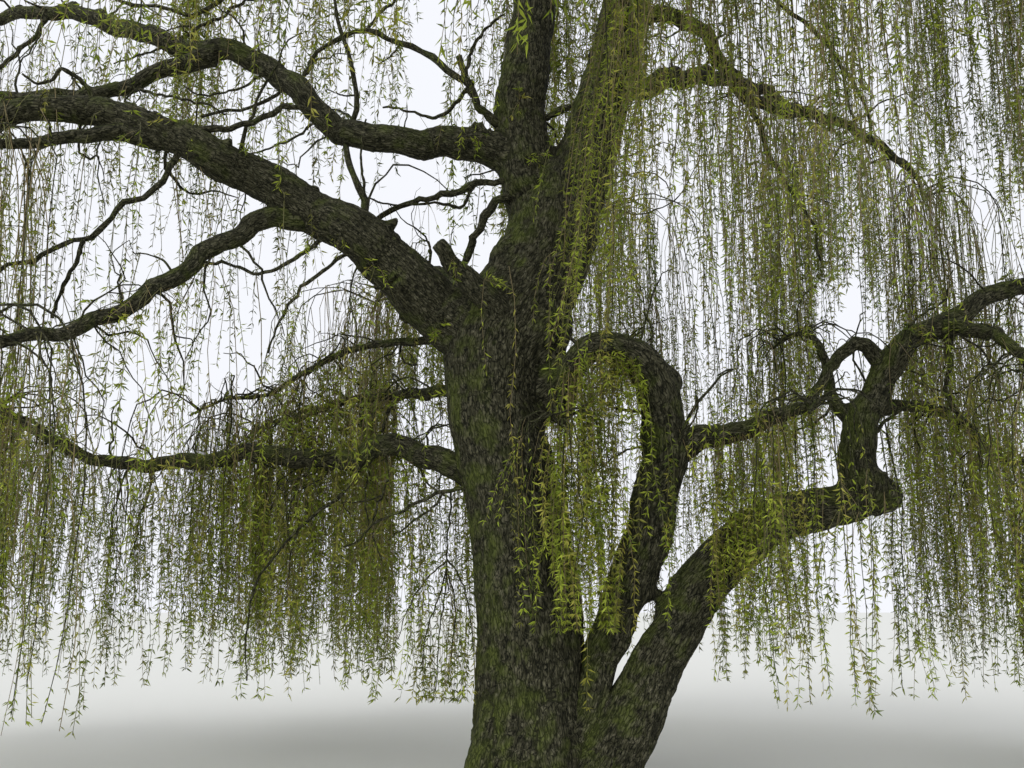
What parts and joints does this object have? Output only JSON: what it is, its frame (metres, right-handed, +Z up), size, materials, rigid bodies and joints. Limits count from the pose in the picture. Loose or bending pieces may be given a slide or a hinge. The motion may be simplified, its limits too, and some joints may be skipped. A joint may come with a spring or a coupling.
{
  "type": "weeping willow tree",
  "caption": "Mature weeping willow in early leaf: a leaning forked trunk with two lower stems, long arching boughs and curtains of hanging twigs down to just above the ground.",
  "frame": {"origin": "on the flat cut under the trunk at ground level, close to the middle of the main trunk", "axes": "+Z up; +X to the right and +Y away in the view that shows the two lower stems on the right"},
  "size_m": [14.7671, 11.5516, 12.1224],
  "materials": {
    "bark": "deeply fissured damp bark with moss",
    "foliage": "young leaves and fine twigs"
  },
  "bodies": {
    "root": {"trunk": "bark", "leader_left": "bark", "leader_right": "bark", "great_bough": "bark", "great_spur": "bark", "high_bough": "bark", "high_fork": "bark", "mid_bough": "bark", "low_bough": "bark", "thin_bough": "bark", "back_left_bough": "bark", "broken_stub": "bark", "side_stem": "bark", "side_stem_arch": "bark", "side_branch": "bark", "low_stem": "bark", "elbow_stem": "bark", "loop_arm": "bark", "left_arm": "bark", "right_droop": "bark", "right_low": "bark", "upper_right": "bark", "back_bough_left": "bark", "back_bough_mid": "bark", "back_bough_right": "bark", "left_front_bough": "bark", "front_bough": "bark", "inner_front_bough": "bark", "front_right_bough": "bark", "right_bough": "bark", "left_upper_bough": "bark", "back_upper_bough": "bark", "great_foliage": "foliage", "spur_foliage": "foliage", "mid_foliage": "foliage", "high_fork_foliage": "foliage", "high_foliage": "foliage", "low_foliage": "foliage", "thin_foliage": "foliage", "back_left_foliage": "foliage", "back_foliage_left": "foliage", "back_foliage_mid": "foliage", "back_foliage_right": "foliage", "elbow_foliage": "foliage", "right_droop_foliage": "foliage", "right_low_foliage": "foliage", "upper_right_foliage": "foliage", "left_arm_foliage": "foliage", "side_branch_foliage": "foliage", "arch_foliage": "foliage", "left_front_foliage": "foliage", "front_foliage": "foliage", "inner_front_foliage": "foliage", "front_right_foliage": "foliage", "right_foliage": "foliage", "left_upper_foliage": "foliage", "back_upper_foliage": "foliage", "top_foliage_left": "foliage", "top_foliage_right": "foliage"}
  },
  "joints": []
}
